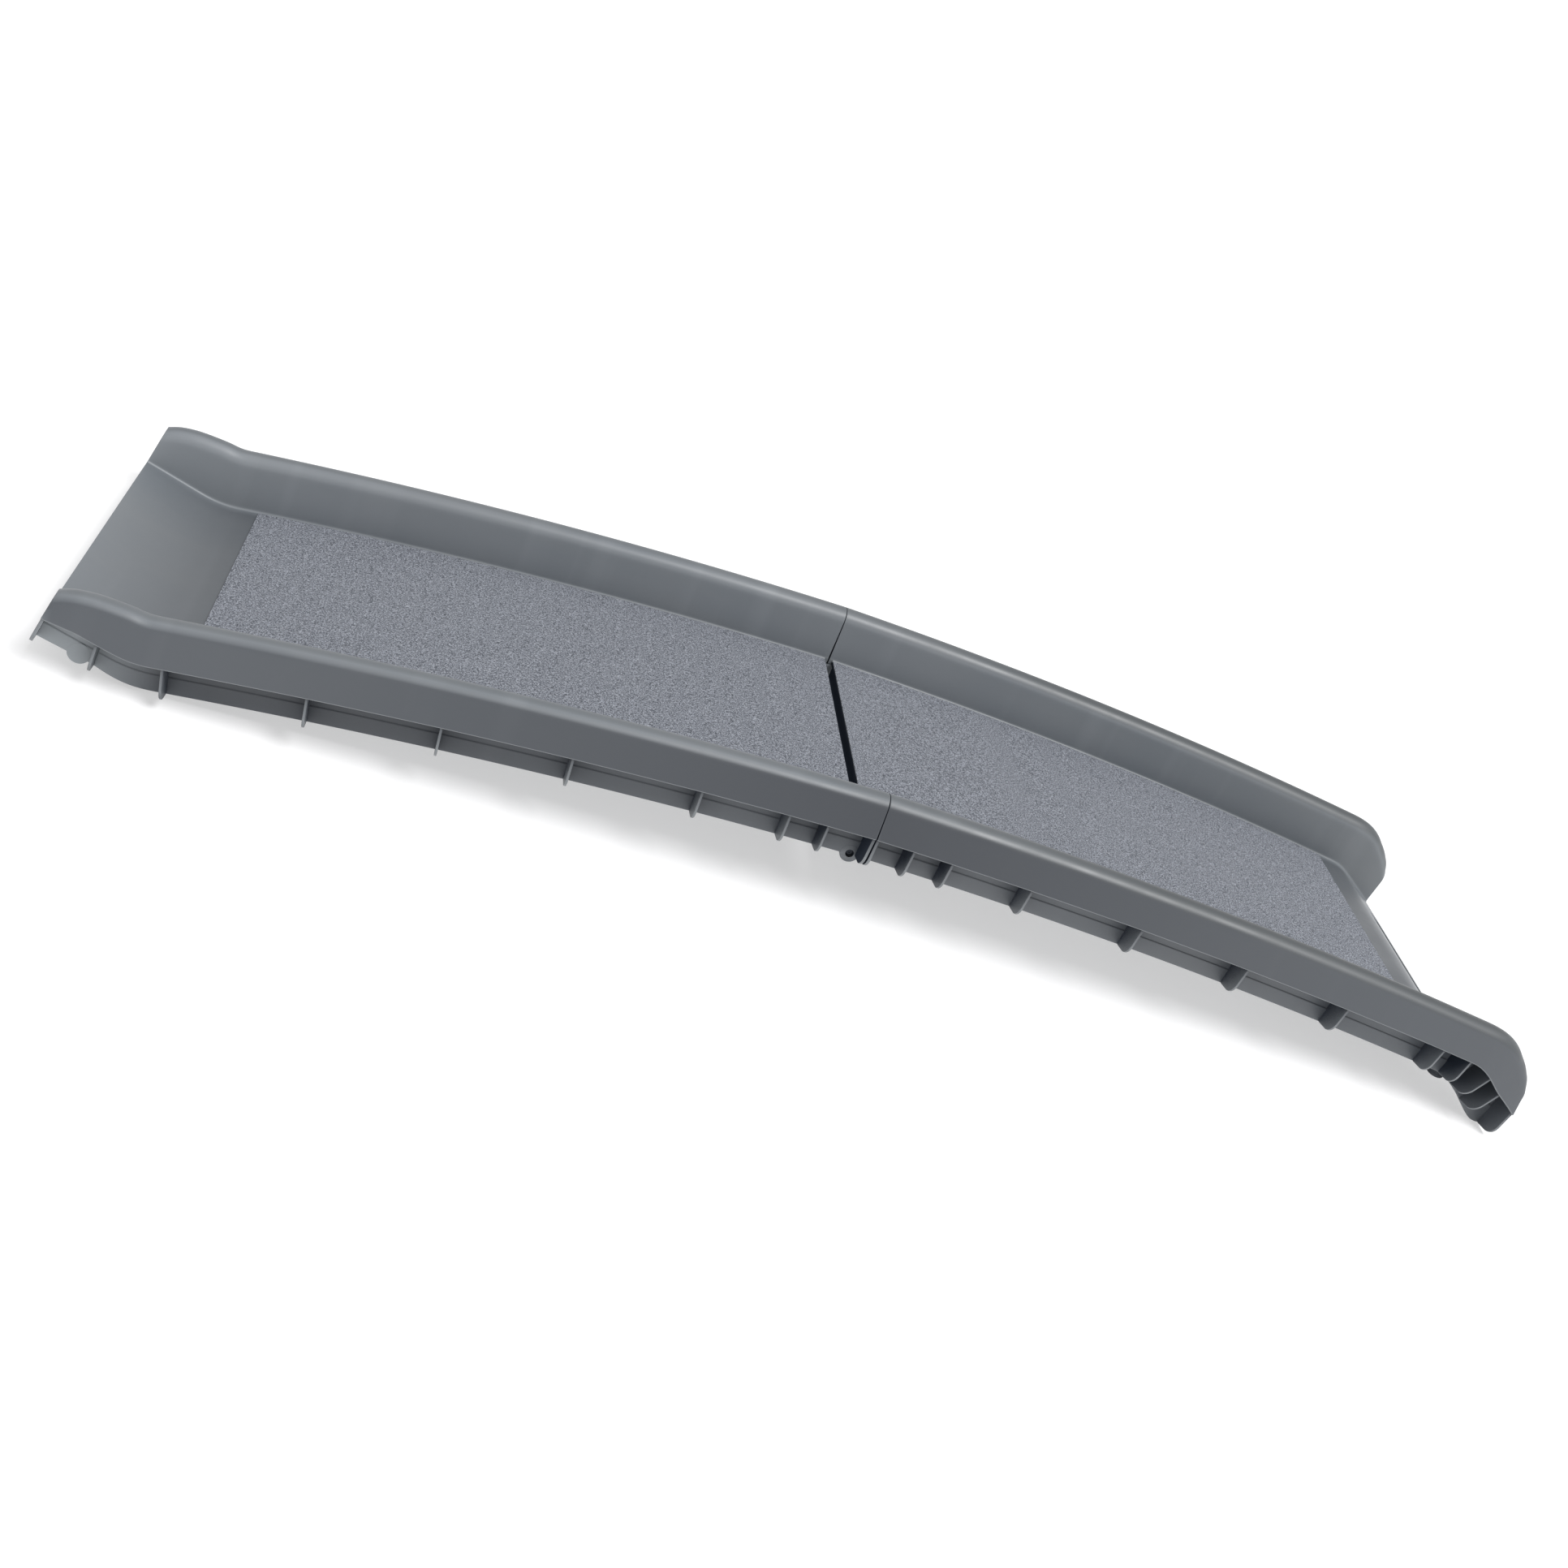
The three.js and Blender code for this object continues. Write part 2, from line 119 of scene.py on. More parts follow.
SLOT_HALF = 140.0
SLOT_FROM = 744.0
SLOT_TO = 765.0
TAB_AT = 737.0
TAB_RADIUS = 10.5
TAB_HEIGHT = -11.0

LIP_FOOT = (-702.0, -68.0)
FOOT_RADIUS = 10.0
FOOT_HEIGHT = 12.0
FOOT_BORE = 4.9
BORE_DEPTH = 6.0
LIP_POST = 10.3
HOOK_POST = 16.6

# ---------------------------------------------------------------------------
# From the deck's frame to the row frame, by the hinge and one lip foot.
# ---------------------------------------------------------------------------


def box_middle(node):
    low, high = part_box(node)
    return (low + high) / 2


hinge = Vector(frame["joints"][0]["pos_m"])
lip_foot = box_middle("lip_foot_near")
lip_foot.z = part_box("lip_foot_near")[0].z
tilt = math.atan2(lip_foot.z - hinge.z, lip_foot.x - hinge.x) - math.atan2(
    LIP_FOOT[1] - HINGE_Z, LIP_FOOT[0] - HINGE_X
)


def to_row(points):
    """Turns and moves deck-frame points in millimetres into row-frame metres."""
    p = np.asarray(points, float).reshape(-1, 3) * MM
    x = p[:, 0] - HINGE_X * MM
    z = p[:, 2] - HINGE_Z * MM
    return np.stack(
        [
            hinge.x + x * math.cos(tilt) - z * math.sin(tilt),
            p[:, 1],
            hinge.z + x * math.sin(tilt) + z * math.cos(tilt),
        ],
        axis=1,
    )


# ---------------------------------------------------------------------------
# Mesh helpers.
# ---------------------------------------------------------------------------


class Shape:
    """A growing list of vertices and faces."""

    def __init__(self):
        self.points = []
        self.faces = []

    def add(self, points, faces):
        start = len(self.points)
        self.points.extend([tuple(p) for p in points])
        self.faces.extend([tuple(i + start for i in face) for face in faces])
        return self

    def loft(self, rings, cap_outline=None):
        """Closed rings joined in a row. The outline gives the caps' triangles."""
        count = len(rings[0])
        points = np.concatenate(rings)
        faces = []
        for r in range(len(rings) - 1):
            for i in range(count):
                j = (i + 1) % count
                faces.append((r * count + i, r * count + j, (r + 1) * count + j, (r + 1) * count + i))
        if cap_outline is not None:
            flat = [Vector((p[0], p[1], 0)) for p in cap_outline]
            last = (len(rings) - 1) * count
            for a, b, c in tessellate_polygon([flat]):
                faces.append((a, b, c))
                faces.append((last + c, last + b, last + a))
        return self.add(points, faces)


def make_object(name, shape, in_deck_frame=True):
    points = to_row(shape.points) if in_deck_frame else np.asarray(shape.points)
    mesh = bpy.data.meshes.new(name)
    mesh.from_pydata([tuple(p) for p in points], [], shape.faces)
    bm = bmesh.new()
    bm.from_mesh(mesh)
    bmesh.ops.recalc_face_normals(bm, faces=bm.faces)
    bm.to_mesh(mesh)
    bm.free()
    piece = bpy.data.objects.new(name, mesh)
    bpy.context.scene.collection.objects.link(piece)
    return piece


def combine(piece, tool, operation):
    """Joins or cuts a solid with another one, which is then removed."""
    modifier = piece.modifiers.new("combine", "BOOLEAN")
    modifier.operation = operation
    modifier.object = tool
    modifier.solver = "MANIFOLD"
    depsgraph = bpy.context.evaluated_depsgraph_get()
    mesh = bpy.data.meshes.new_from_object(piece.evaluated_get(depsgraph))
    piece.modifiers.clear()
    piece.data = mesh
    bpy.data.objects.remove(tool)


def soften(piece, angle=32):
    """Smooth shading that breaks at edges sharper than the angle."""
    mesh = piece.data
    mesh.polygons.foreach_set("use_smooth", [True] * len(mesh.polygons))
    mesh.set_sharp_from_angle(angle=math.radians(angle))
    weighted = piece.modifiers.new("weighted normals", "WEIGHTED_NORMAL")
    weighted.keep_sharp = True


def arc(x, y, radius, start, end, steps):
    angles = np.radians(np.linspace(start, end, steps + 1))
    return np.stack([x + radius * np.cos(angles), y + radius * np.sin(angles)], axis=1)


def outline_of(*parts):
    """Joins points and runs of points into one outline, dropping doubled points."""
    rows = np.concatenate([np.asarray(p, float).reshape(-1, 2) for p in parts])
    gap = np.linalg.norm(rows - np.roll(rows, 1, axis=0), axis=1)
    return rows[gap > 1e-3]


def inset(outline, distance):
    """Moves a counter-clockwise outline inwards."""
    if distance == 0:
        return outline
    before = outline - np.roll(outline, 1, axis=0)
    after = np.roll(outline, -1, axis=0) - outline
    normal_a = np.stack([-before[:, 1], before[:, 0]], axis=1)
    normal_b = np.stack([-after[:, 1], after[:, 0]], axis=1)
    normal_a /= np.linalg.norm(normal_a, axis=1)[:, None]
    normal_b /= np.linalg.norm(normal_b, axis=1)[:, None]
    middle = normal_a + normal_b
    scale = np.maximum((middle**2).sum(1) / 2, 0.5)
    return outline + distance * middle / scale[:, None]


def counter_clockwise(outline):
    x, y = outline[:, 0], outline[:, 1]
    area = (x * np.roll(y, -1) - np.roll(x, -1) * y).sum()
    return outline if area > 0 else outline[::-1]


def round_over(radius):
    """(distance from the end, inset) steps round a quarter circle."""
    return [(radius * (1 - math.sin(a)), radius * (1 - math.cos(a))) for a in np.radians([90, 60, 30, 0])]


def plate(outline, thickness, radius, place):
    """A flat plate with rounded rims. place(outline, across) gives its points."""
    outline = counter_clockwise(outline)
    half = thickness / 2
    rings = [place(inset(outline, d), s - half) for s, d in sorted(round_over(radius))]
    rings += [place(inset(outline, d), half - s) for s, d in sorted(round_over(radius), reverse=True)]
    return Shape().loft(rings, outline)


def turned(profile, steps, place):
    """A closed solid of revolution. profile is a closed loop of (radius, height)."""
    angles = np.linspace(0, 2 * math.pi, steps, endpoint=False)
    rings = [[place(r * math.cos(a), r * math.sin(a), h) for a in angles] for r, h in profile]
    shape = Shape()
    points = np.array([p for ring in rings for p in ring])
    count = len(profile)
    faces = []
    for i in range(count):
        j = (i + 1) % count
        for k in range(steps):
            m = (k + 1) % steps
            faces.append((i * steps + k, i * steps + m, j * steps + m, j * steps + k))
    return shape.add(points, faces)


def turned_solid(profile, steps, place):
    """A solid of revolution whose first and last rings are closed by flat discs."""
    angles = np.linspace(0, 2 * math.pi, steps, endpoint=False)
    rings = [np.array([place(r * math.cos(a), r * math.sin(a), h) for a in angles]) for r, h in profile]
    circle = np.stack([np.cos(angles), np.sin(angles)], axis=1)
    return Shape().loft(rings, circle)


# ---------------------------------------------------------------------------
# The panels' paths.
# ---------------------------------------------------------------------------


def smoothed(values, reach):
    """A moving average that keeps the slope at both ends."""
    padded = np.pad(values, reach, mode="reflect", reflect_type="odd")
    kernel = np.ones(2 * reach + 1) / (2 * reach + 1)
    return np.convolve(padded, kernel, mode="valid")


def lay_path(direction, lengths, bend, tables):
    camber, curve = lengths[:2]
    total = sum(lengths)
    s = np.arange(0, total + 0.25, 0.5)
    droop = -math.degrees(camber / CAMBER_RADIUS)
    flat_end = -SLOPE + droop
    bent_end = flat_end + bend
    turns = [(0, -SLOPE), (camber, flat_end), (camber + curve, bent_end), (total, bent_end)]
    heading = smoothed(np.interp(s, *zip(*turns)), 9)
    middle = np.radians((heading[1:] + heading[:-1]) / 2)
    x = GAP + np.concatenate([[0], np.cumsum(0.5 * np.cos(middle))])
    z = np.concatenate([[0], np.cumsum(0.5 * np.sin(middle))])
    path = {"direction": direction, "s": s, "x": direction * x, "z": z, "length": total}
    for name, table in tables.items():
        path[name] = smoothed(np.interp(s, *zip(*table)), 12)
    path["lean"] = np.radians(path["lean"] - heading)
    return path


def knot_at(path, distance):
    def value(name):
        return float(np.interp(distance, path["s"], path[name]))

    lean = value("lean")
    return {
        "centre": np.array([value("x"), 0, value("z")]),
        "up": np.array([path["direction"] * math.sin(lean), 0, math.cos(lean)]),
        "top": value("top"),
        "skirt": value("skirt"),
        "foot": value("foot"),
    }


def real_heights(heights, knot):
    """Moves nominal section heights to where they are at a knot."""
    moved = np.where(heights > 30, heights + knot["top"] - WALL_TOP, heights)
    moved = np.where((heights > 10) & (heights <= 30), heights + knot["skirt"] - SKIRT_FOOT, moved)
    return np.where(heights < -DECK_THICK - 1, heights * knot["foot"] / WALL_FOOT, moved)


def ring_at(path, distance, outline, reshape=True):
    knot = knot_at(path, distance)
    heights = real_heights(outline[:, 1], knot) if reshape else outline[:, 1]
    ring = knot["centre"] + heights[:, None] * knot["up"]
    ring[:, 1] = outline[:, 0]
    return ring


def sweep(path, outline, start, end, spacing, radius, reshape=True):
    """Sweeps an outline along a path, with its end rims rounded."""
    outline = counter_clockwise(outline)
    rounding = round_over(radius)
    body = list(spacing[(spacing > start + radius + 0.4) & (spacing < end - radius - 0.4)])
    stations = [(start + s, d) for s, d in sorted(rounding)]
    stations += [(s, 0) for s in body]
    stations += [(end - s, d) for s, d in sorted(rounding, reverse=True)]
    rings = [ring_at(path, s, inset(outline, d), reshape) for s, d in stations]
    return Shape().loft(rings, outline)


lower_path = lay_path(-1, LOWER_LENGTHS, LOWER_BEND, LOWER_TABLES)
upper_path = lay_path(1, UPPER_LENGTHS, UPPER_BEND, UPPER_TABLES)


def stations_of(path, lengths):
    camber = lengths[0]
    near_hinge = [2, 6, 12]
    along_deck = np.arange(20, camber - 24, 16.0)
    round_bend = np.arange(camber - 20, path["length"], 2.5)
    return np.concatenate([near_hinge, along_deck, round_bend])


# ---------------------------------------------------------------------------
# Panels.
# ---------------------------------------------------------------------------


def half_section():
    inner = ROLL_RADIUS - SHELL
    tip = np.array([SKIRT_OUT, SKIRT_FOOT])
    rim = 1.1
    rim_middle = tip + (-SHELL / 2, SHELL / 2)
    fin_low = -FIN_DEPTH
    left = FIN_SPACING - FIN_THICK / 2
    right = FIN_SPACING + FIN_THICK / 2
    foot = WALL_OUT + WALL_STEP
    return [
        [(150, 0), (192, 0), (197, 0)],
        arc(DECK_HALF - FILLET, FILLET, FILLET, -90, -6, 6),
        [(DECK_HALF + 0.1, FILLET + 1.5), (DECK_HALF + 0.9, ROLL_HEIGHT - 3)],
        arc(ROLL_CENTRE, ROLL_HEIGHT, ROLL_RADIUS, 180, SKIRT_DRAFT, 22),
        [(ROLL_CENTRE + ROLL_RADIUS - 0.2 + 0.9, ROLL_HEIGHT - 0.6)],
        arc(rim_middle[0], rim_middle[1], SHELL / 2, 0, -180, 6),
        [(ROLL_CENTRE + inner + 0.35, ROLL_HEIGHT - 0.6)],
        arc(ROLL_CENTRE, ROLL_HEIGHT, inner, SKIRT_DRAFT, 180, 12),
        [(WALL_OUT - 0.1, 3.5), (WALL_OUT, 0.3), (WALL_OUT + 0.3, -0.2), (foot - 0.2, -0.9), (foot, -1.6)],
        arc(foot - rim, WALL_FOOT + rim, rim, 0, -90, 3),
        arc(WALL_IN + rim, WALL_FOOT + rim, rim, -90, -180, 3),
        [(WALL_IN, -DECK_THICK - 3), (WALL_IN - 0.6, -DECK_THICK - 0.6), (WALL_IN - 2.5, -DECK_THICK)],
        [(right + 1.5, -DECK_THICK), (right, -DECK_THICK - 1.5)],
        [(right - 0.2, fin_low + 0.5), (right - 0.7, fin_low)],
        [(left + 0.7, fin_low), (left + 0.2, fin_low + 0.5)],
        [(left, -DECK_THICK - 1.5), (left - 1.5, -DECK_THICK)],
    ]


def panel_section():
    side = outline_of(*half_section())
    half = FIN_THICK / 2
    fin = [
        (half + 1.5, -DECK_THICK),
        (half, -DECK_THICK - 1.5),
        (half - 0.2, -FIN_DEPTH + 0.5),
        (half - 0.7, -FIN_DEPTH),
        (-half + 0.7, -FIN_DEPTH),
        (-half + 0.2, -FIN_DEPTH + 0.5),
        (-half, -DECK_THICK - 1.5),
        (-half - 1.5, -DECK_THICK),
    ]
    other = side[::-1] * (-1, 1)
    return outline_of(side, fin, other)


def web_outline(knot):
    embed = SHELL / 2
    roll, skirt, foot = real_heights(np.array([ROLL_HEIGHT, SKIRT_FOOT, WALL_FOOT]), knot)
    outer = SKIRT_OUT - embed
    return outline_of(
        [(WALL_OUT - embed, roll), (WALL_OUT - embed, foot + 1), (WALL_OUT + WALL_STEP + 2, foot + 0.6)],
        arc(outer - WEB_CORNER - 1, foot + WEB_CORNER + 2.5, WEB_CORNER, -72, -4, 9),
        [(outer, skirt + embed)],
        arc(ROLL_CENTRE, roll, ROLL_RADIUS - embed, SKIRT_DRAFT, 165, 10),
    )


def across_panel(knot):
    along = np.array([knot["up"][2], 0, -knot["up"][0]])

    def place(outline, offset):
        ring = knot["centre"] + outline[:, 1:2] * knot["up"] + offset * along
        ring[:, 1] = outline[:, 0]
        return ring

    return place


def add_plate(shape, made):
    shape.add(made.points, made.faces)


def add_webs(shape, knot, thickness):
    outline = web_outline(knot)
    for side in (1, -1):
        add_plate(shape, plate(outline * (side, 1), thickness, 0.55, across_panel(knot)))


def add_rib(shape, knot, reach, depth, thickness):
    top = -DECK_THICK / 2
    outline = np.array([(-reach, -depth), (reach, -depth), (reach, top), (-reach, top)], float)
    add_plate(shape, plate(outline, thickness, 0.5, across_panel(knot)))


def webs_and_ribs(path, webs):
    shape = Shape()
    for distance in webs:
        knot = knot_at(path, distance)
        add_webs(shape, knot, WEB_THICK)
        add_rib(shape, knot, WALL_IN + 1, RIB_DEPTH, WEB_THICK)
    hinge_end = knot_at(path, END_PLATE / 2 + 0.05)
    outer_end = dict(knot_at(path, path["length"] - END_PLATE / 2 - 0.35))
    outer_end["up"] = knot_at(path, path["length"])["up"]
    add_webs(shape, hinge_end, END_PLATE)
    add_webs(shape, outer_end, END_PLATE)
    add_rib(shape, outer_end, WALL_IN + 1, FIN_DEPTH, END_PLATE)
    add_rib(shape, knot_at(path, SETBACK + END_PLATE / 2 - GAP), 191.9, FIN_DEPTH + 2, END_PLATE)
    return shape


def box_solid(low, high):
    (x0, y0, z0), (x1, y1, z1) = low, high
    outline = np.array([(x0, z0), (x1, z0), (x1, z1), (x0, z1)], float)
    rings = []
    for y in (y0, y1):
        rings.append(np.array([(x, y, z) for x, z in outline]))
    return make_object("tool", Shape().loft(rings, outline))


def disc_solid(radius, y0, y1, x, z, steps=48, rim=0.0):
    profile = [(radius, y0), (radius, y1)]
    if rim:
        profile = [(radius - rim, y0), (radius, y0 + rim), (radius, y1 - rim), (radius - rim, y1)]
    return make_object("tool", turned_solid(profile, steps, lambda a, b, h: (x + a, h, z + b)))


def span(side, near, far):
    return sorted((side * near, side * far))


def post_solid(x, y, low, length, radius=8.0):
    """An upright post in the row frame, above a foot."""

    def place(a, b, h):
        return (x + a * MM, y + b * MM, low + h * MM)

    profile = [(radius - 0.5, 0), (radius, 0.5), (radius, length)]
    return make_object("tool", turned_solid(profile, 40, place), in_deck_frame=False)


def foot_middle(end, label):
    """The middle of a foot's bottom face, in the row frame."""
    middle = box_middle(f"{end}_foot_washer_{label}")
    middle.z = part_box(f"{end}_foot_{label}")[0].z
    return middle


def add_posts(panel, end, length):
    for label in ("near", "far"):
        at = foot_middle(end, label)
        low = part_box(f"{end}_foot_{label}")[1].z + 0.3 * MM
        combine(panel, post_solid(at.x, at.y, low, length), "UNION")
        bore = post_solid(at.x, at.y, low - 1 * MM, 9.5, 2.2)
        combine(panel, bore, "DIFFERENCE")


def joined(piece, shape):
    """Adds loose closed islands to a piece's mesh."""
    extra = make_object("extra", shape)
    bm = bmesh.new()
    bm.from_mesh(piece.data)
    bm.from_mesh(extra.data)
    bm.to_mesh(piece.data)
    bm.free()
    bpy.data.objects.remove(extra)


def build_lower_panel():
    path = lower_path
    shell = sweep(path, panel_section(), 0, path["length"], stations_of(path, LOWER_LENGTHS), 0.6)
    panel = make_object("lower_panel_shell", shell)
    combine(panel, box_solid((-SETBACK, -CUT_HALF, -40), (2, CUT_HALF, 40)), "DIFFERENCE")
    tab = knot_at(path, TAB_AT)
    tab_at = tab["centre"] + TAB_HEIGHT * tab["up"]
    for side in (-1, 1):
        y0, y1 = span(side, WALL_IN - 0.1, WALL_OUT + WALL_STEP + 0.1)
        combine(panel, disc_solid(TAB_RADIUS, y0, y1, tab_at[0], tab_at[2], 64, 0.6), "UNION")
        combine(panel, disc_solid(EAR_RADIUS, y0, y1, HINGE_X, HINGE_Z, 64, 0.6), "UNION")
        combine(panel, disc_solid(BORE, y0 - 6, y1 + 6, HINGE_X, HINGE_Z, 48), "DIFFERENCE")
    add_posts(panel, "lip", LIP_POST)
    joined(panel, webs_and_ribs(path, LOWER_WEBS))
    return panel


def slot_solid():
    """The hand-hold's prism, with rounded corners, through the hook."""
    corner = 7.0
    middle = (SLOT_FROM + SLOT_TO) / 2
    half = (SLOT_TO - SLOT_FROM) / 2 - 0.3
    outline = outline_of(
        arc(SLOT_HALF - corner, middle + half - corner, corner, 0, 90, 6),
        arc(-SLOT_HALF + corner, middle + half - corner, corner, 90, 180, 6),
        arc(-SLOT_HALF + corner, middle - half + corner, corner, 180, 270, 6),
        arc(SLOT_HALF - corner, middle - half + corner, corner, 270, 360, 6),
    )
    rings = []
    for height in (-30, 8):
        ring = []
        for across, distance in outline:
            knot = knot_at(upper_path, distance)
            point = knot["centre"] + height * knot["up"]
            ring.append((point[0], across, point[2]))
        rings.append(np.array(ring))
    return make_object("tool", Shape().loft(rings, outline))


def inner_ear_solid(side):
    """An ear that reaches from the upper panel round the pin, inside the lower wall."""
    low = HINGE_Z + 1
    outline = outline_of(
        arc(HINGE_X, HINGE_Z, EAR_RADIUS, 75, 285, 36),
        [(14, low), (29, low), (29, -3), (8, -3)],
    )
    y0, y1 = span(side, WALL_IN - EAR_GAP - EAR_THICK, WALL_IN - EAR_GAP)

    def place(rows, offset):
        middle = np.full(len(rows), (y0 + y1) / 2 + offset)
        return np.stack([rows[:, 0], middle, rows[:, 1]], axis=1)

    return make_object("tool", plate(outline, y1 - y0, 0.5, place))


def build_upper_panel():
    path = upper_path
    shell = sweep(path, panel_section(), 0, path["length"], stations_of(path, UPPER_LENGTHS), 0.6)
    panel = make_object("upper_panel_shell", shell)
    combine(panel, box_solid((-2, -CUT_HALF, -40), (SETBACK, CUT_HALF, 40)), "DIFFERENCE")
    ribs = webs_and_ribs(path, UPPER_WEBS)
    add_rib(ribs, knot_at(path, SLOT_FROM - 3), WALL_IN + 1, FIN_DEPTH, WEB_THICK)
    for side in (-1, 1):
        y0, y1 = span(side, WALL_IN - EAR_GAP / 2, WALL_OUT + WALL_STEP + EAR_GAP)
        combine(panel, disc_solid(EAR_CLEARANCE, y0, y1, HINGE_X, HINGE_Z, 64), "DIFFERENCE")
        y0, y1 = span(side, WALL_IN - EAR_GAP - EAR_THICK, WALL_IN + 2.5)
        combine(panel, box_solid((10.5, y0, -16.8), (30, y1, -3.1)), "UNION")
        combine(panel, inner_ear_solid(side), "UNION")
        y0, y1 = span(side, WALL_IN - EAR_GAP - EAR_THICK - 6, WALL_IN - EAR_GAP + 0.2)
        combine(panel, disc_solid(BORE, y0, y1, HINGE_X, HINGE_Z, 48), "DIFFERENCE")
    add_posts(panel, "hook", HOOK_POST)
    combine(panel, slot_solid(), "DIFFERENCE")
    joined(panel, ribs)
    return panel


# ---------------------------------------------------------------------------
# Mats.
# ---------------------------------------------------------------------------


def build_mat(name, path, length):
    start = SETBACK - GAP + 0.2
    across = np.linspace(MAT_HALF - 0.5, -MAT_HALF + 0.5, 90)
    top = np.stack([across, np.full(90, MAT_HIGH)], axis=1)
    low = np.stack([across[::-1], np.full(90, MAT_LOW)], axis=1)
    middle = (MAT_LOW + MAT_HIGH) / 2
    outline = outline_of(top, [(-MAT_HALF, middle)], low, [(MAT_HALF, middle)])
    spacing = np.arange(start, start + length, 5.0)
    shape = sweep(path, outline, start, start + length, spacing, 0.3, reshape=False)
    return make_object(name, shape)


# ---------------------------------------------------------------------------
# Small hardware.
# ---------------------------------------------------------------------------


def about_pin(y0, direction):
    """Places a profile of (radius, height) on the hinge, in the row frame."""

    def place(a, b, h):
        return (hinge.x + a * MM, y0 + direction * h * MM, hinge.z + b * MM)

    return place


def build_pin(label, side):
    low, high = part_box(f"hinge_pin_{label}")
    length = (high.y - low.y) / MM
    radius = (high.z - low.z) / MM / 2
    start = low.y if side > 0 else high.y
    profile = [
        (radius - 1.2, 0),
        (radius - 0.5, 0.15),
        (radius - 0.1, 0.6),
        (radius, 1.0),
        (radius, length - 0.8),
        (radius - 0.3, length - 0.25),
        (radius - 0.9, length),
        (1.0, length),
        (0.6, length - 0.5),
    ]
    shape = turned_solid(profile, 48, about_pin(start, side))
    return make_object(f"hinge_pin_{label}_turned", shape, in_deck_frame=False)


def build_washer(node, inner, bevel, axis_place, height):
    low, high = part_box(node)
    outer = (high.x - low.x) / MM / 2
    profile = [
        (inner, 0.1),
        (inner + bevel, 0),
        (outer - bevel, 0),
        (outer, bevel),
        (outer, height - bevel),
        (outer - bevel, height),
        (inner + bevel, height),
        (inner, height - 0.1),
    ]
    return make_object(f"{node}_turned", turned(profile, 56, axis_place), in_deck_frame=False)


def build_clip(label):
    """An open retaining clip: a ring of flat section with a gap and three inner teeth."""
    node = f"hinge_clip_{label}"
    low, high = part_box(node)
    outer = (high.x - low.x) / MM / 2
    y0 = low.y
    y1 = high.y
    angles = np.radians(np.linspace(35, 325, 90))
    teeth = 0.5 + 0.5 * np.cos(3 * (angles - math.pi))
    inner = 5.1 - 0.6 * teeth**3
    outer_run = np.stack([outer * np.cos(angles), outer * np.sin(angles)], axis=1)
    inner_run = np.stack([inner * np.cos(angles), inner * np.sin(angles)], axis=1)[::-1]
    outline = outline_of(outer_run, inner_run)

    def place(rows, offset):
        middle = np.full(len(rows), (y0 + y1) / 2 + offset * MM)
        return np.stack([hinge.x + rows[:, 0] * MM, middle, hinge.z + rows[:, 1] * MM], axis=1)

    shape = plate(outline, (y1 - y0) / MM, 0.15, place)
    return make_object(f"{node}_cut", shape, in_deck_frame=False)


def above_foot(at):
    def place(a, b, h):
        return (at.x + a * MM, at.y + b * MM, at.z + h * MM)

    return place


def build_foot(end, label):
    at = foot_middle(end, label)
    rim = arc(FOOT_RADIUS - 2.5, 2.2, 2.2, -90, -5, 7)
    profile = outline_of(
        [(2.3, FOOT_HEIGHT - 0.3), (2.3, BORE_DEPTH + 0.3), (2.7, BORE_DEPTH)],
        [(FOOT_BORE, BORE_DEPTH), (FOOT_BORE, 0.5), (FOOT_BORE + 0.4, 0)],
        [(6.0, 0), (6.2, 0.35), (6.6, 0.35), (6.8, 0)],
        rim,
        [(FOOT_RADIUS - 0.1, 4), (FOOT_RADIUS - 0.5, 4.6), (FOOT_RADIUS - 0.1, 5.2)],
        [(FOOT_RADIUS, FOOT_HEIGHT - 1.2), (FOOT_RADIUS - 0.4, FOOT_HEIGHT - 0.3)],
        [(FOOT_RADIUS - 1.2, FOOT_HEIGHT)],
        [(2.8, FOOT_HEIGHT)],
    )
    shape = turned(profile, 64, above_foot(at))
    foot = make_object(f"{end}_foot_{label}_moulded", shape, in_deck_frame=False)
    if end == "hook":
        joined_nib(foot, at)
    return foot


def joined_nib(foot, at):
    """The thin moulded nib on the rim, pointing down towards the ground end."""
    reach = np.linspace(0, 10.5, 10)
    slope = math.radians(30)
    upright = np.array([-math.sin(slope), 0, math.cos(slope)])
    sideways = np.array([0, 1, 0])
    angles = np.linspace(0, 2 * math.pi, 16, endpoint=False)
    shape = Shape()
    rings = []
    for r in reach:
        radius = 1.1 - 0.05 * r + 0.25 * math.exp(-r)
        centre = np.array([-7.2 - r * math.cos(slope), 0, 5.9 - r * math.sin(slope)])
        ring = [centre + radius * (math.cos(a) * upright + math.sin(a) * sideways) for a in angles]
        rings.append(np.array(ring) * MM + np.array(at))
    shape.loft(rings, np.stack([np.cos(angles), np.sin(angles)], axis=1))
    nib = make_object("nib", shape, in_deck_frame=False)
    combine(foot, nib, "UNION")


